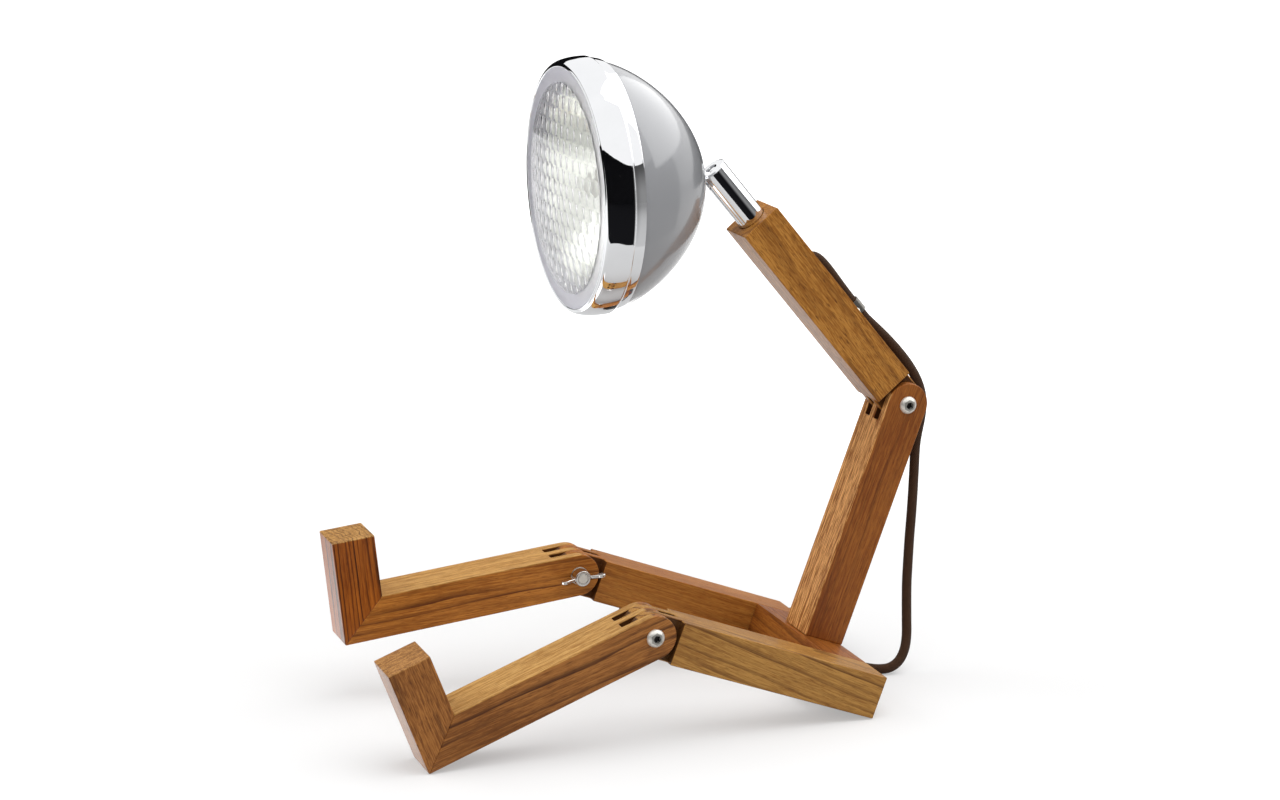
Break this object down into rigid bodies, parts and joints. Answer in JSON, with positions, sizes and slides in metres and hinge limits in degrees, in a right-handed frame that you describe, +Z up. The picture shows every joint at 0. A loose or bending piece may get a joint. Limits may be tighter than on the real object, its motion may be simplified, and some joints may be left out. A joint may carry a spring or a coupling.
{
  "type": "articulated desk lamp",
  "caption": "Desk lamp shaped like a seated robot: finger-jointed wooden beams on bolts with wing nuts, a swivelling chrome neck and a round headlamp for its head.",
  "frame": {"origin": "on the surface it sits on, at the bottom centre of the lamp measured without its cord, switch and plug", "axes": "+Z up; the lamp faces -Y; +X is the robot's left, the side of the bolts' heads at waist and left knee"},
  "size_m": [0.2568, 0.3631, 0.387],
  "materials": {
    "wood_light": "oiled, satin",
    "wood_mid": "oiled, satin",
    "wood_dark": "oiled, satin",
    "dowel_wood": "raw",
    "lacquer": "glossy grey lacquer",
    "chrome": "polished",
    "nickel": "bright nickel",
    "brass": "turned",
    "nylon": "matte",
    "lens_glass": "clear, fluted",
    "gasket": "matte",
    "mirror": "polished",
    "ceramic": "matte ceramic",
    "bulb_glass": "frosted",
    "wire": "silicone",
    "textile": "braided textile",
    "black_plastic": "matte",
    "rocker_plastic": "gloss"
  },
  "bodies": {
    "pelvis": {"thigh_left": "wood_light", "thigh_right": "wood_light", "hip_bar": "wood_mid", "frame_dowels": "dowel_wood", "trunk": "wood_dark", "trunk_screw": "nickel", "waist_bolt": "nickel", "waist_washer": "nickel", "cord_drop": "textile", "cord_tail": "textile", "cord_coil": "textile", "cord_end": "textile", "coil_tie": "black_plastic", "switch_base": "black_plastic", "switch_cover": "black_plastic", "plug_body": "black_plastic", "plug_pins": "nickel"},
    "shin_left": {"shin_left": "wood_mid", "foot_left": "wood_dark", "foot_dowels_left": "dowel_wood", "knee_bolt_left": "nickel", "knee_washer_left": "nickel"},
    "shin_right": {"shin_right": "wood_mid", "foot_right": "wood_dark", "foot_dowels_right": "dowel_wood", "knee_bolt_right": "nickel", "knee_washer_right": "nickel"},
    "wing_nut_left": {"wing_nut_left": "nickel"},
    "wing_nut_right": {"wing_nut_right": "nickel"},
    "wing_nut_waist": {"wing_nut_waist": "nickel"},
    "arm": {"arm": "wood_mid", "neck_insert": "brass", "neck_nipple": "brass", "neck_washer": "brass", "cord_bush": "black_plastic", "cord_inner": "textile", "cord_arm": "textile", "cord_bend": "textile", "cord_saddle": "nickel", "saddle_screws": "nickel"},
    "neck": {"neck_tube": "chrome", "pressure_sleeve": "nylon", "ball_cup": "brass"},
    "head": {"swivel_ball": "chrome", "head_stem": "chrome", "stem_nut": "nickel", "head_shell": "lacquer", "bezel": "chrome", "bezel_screw": "nickel", "lens": "lens_glass", "lens_gasket": "gasket", "reflector": "mirror", "retaining_clips": "nickel", "lamp_bracket": "nickel", "lamp_holder": "ceramic", "bulb": "bulb_glass", "head_wires": "wire"},
    "rocker": {"switch_rocker": "rocker_plastic"}
  },
  "joints": [
    {"name": "knee_left", "type": "hinge", "parent": "pelvis", "child": "shin_left", "pos_m": [0.06625, -0.021, 0.06488], "axis": [1, 0, 0], "range_deg": [-41, 51]},
    {"name": "knee_right", "type": "hinge", "parent": "pelvis", "child": "shin_right", "pos_m": [-0.06625, -0.021, 0.06488], "axis": [1, 0, 0], "range_deg": [-26, 66]},
    {"name": "waist", "type": "hinge", "parent": "pelvis", "child": "arm", "pos_m": [0, 0.1654, 0.17081], "axis": [1, 0, 0], "range_deg": [-60, 32], "deforming": ["cord_bend"]},
    {"name": "neck_swivel", "type": "hinge", "parent": "arm", "child": "neck", "pos_m": [0, 0.0476, 0.31372], "axis": [0, -0.6361, 0.7716], "range_deg": [-150, 150]},
    {"name": "head_tilt", "type": "hinge", "parent": "neck", "child": "head", "pos_m": [0, 0.0476, 0.31372], "axis": [1, 0, 0], "range_deg": [-50, 33]},
    {"name": "wing_nut_left_turn", "type": "hinge", "parent": "shin_left", "child": "wing_nut_left", "pos_m": [0.0465, -0.021, 0.06488], "axis": [1, 0, 0], "continuous": true},
    {"name": "wing_nut_right_turn", "type": "hinge", "parent": "shin_right", "child": "wing_nut_right", "pos_m": [-0.0465, -0.021, 0.06488], "axis": [1, 0, 0], "continuous": true},
    {"name": "wing_nut_waist_turn", "type": "hinge", "parent": "pelvis", "child": "wing_nut_waist", "pos_m": [-0.01975, 0.1654, 0.17081], "axis": [1, 0, 0], "continuous": true},
    {"name": "switch_rocker", "type": "hinge", "parent": "pelvis", "child": "rocker", "pos_m": [-0.061, 0.136, 0.014], "axis": [0, 1, 0], "range_deg": [0, 14]}
  ]
}
